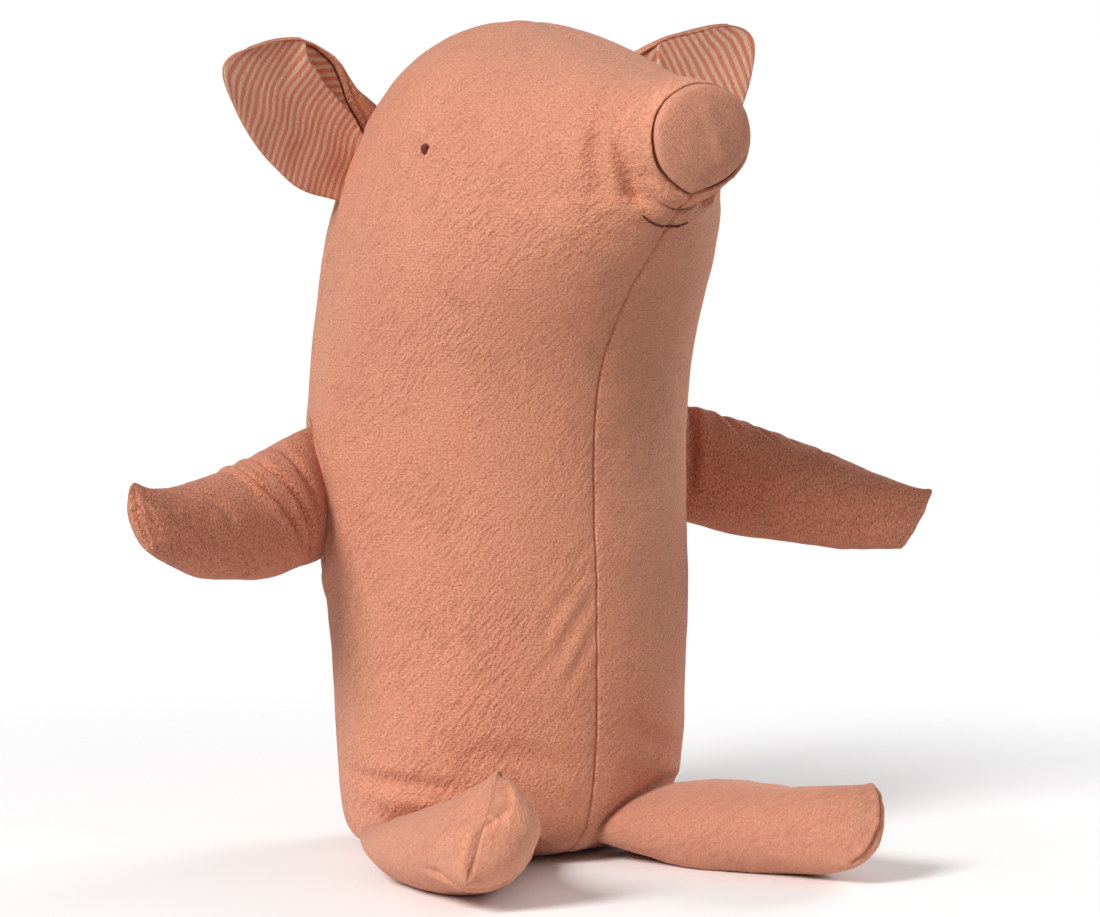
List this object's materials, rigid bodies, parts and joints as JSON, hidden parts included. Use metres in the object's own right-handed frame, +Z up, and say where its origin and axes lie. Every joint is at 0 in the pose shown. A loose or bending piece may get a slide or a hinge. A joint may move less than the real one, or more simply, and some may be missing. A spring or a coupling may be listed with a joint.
{
  "type": "stuffed toy pig",
  "caption": "Stuffed fabric toy pig that sits upright with its legs out in front and its arms spread, ears cupped and snout raised.",
  "frame": {"origin": "on the floor, in the flat underside of the trunk, below the trunk's axis", "axes": "+Z up, -Y where the snout points, +X to the toy's own left"},
  "size_m": [0.428, 0.277, 0.3861],
  "materials": {
    "linen": "matte woven linen, salmon",
    "striped_lining": "matte woven linen with narrow terracotta and beige stripes",
    "dark_thread": "dull dark brown sewing thread"
  },
  "bodies": {
    "root": {"trunk": "linen", "head": "linen", "snout_disc": "linen", "ear_right": "striped_lining", "ear_left": "striped_lining", "arm_right": "linen", "arm_left": "linen", "leg_right": "linen", "leg_left": "linen", "tail": "linen", "eye_right": "dark_thread", "eye_left": "dark_thread", "mouth_stitch": "dark_thread"}
  },
  "joints": []
}
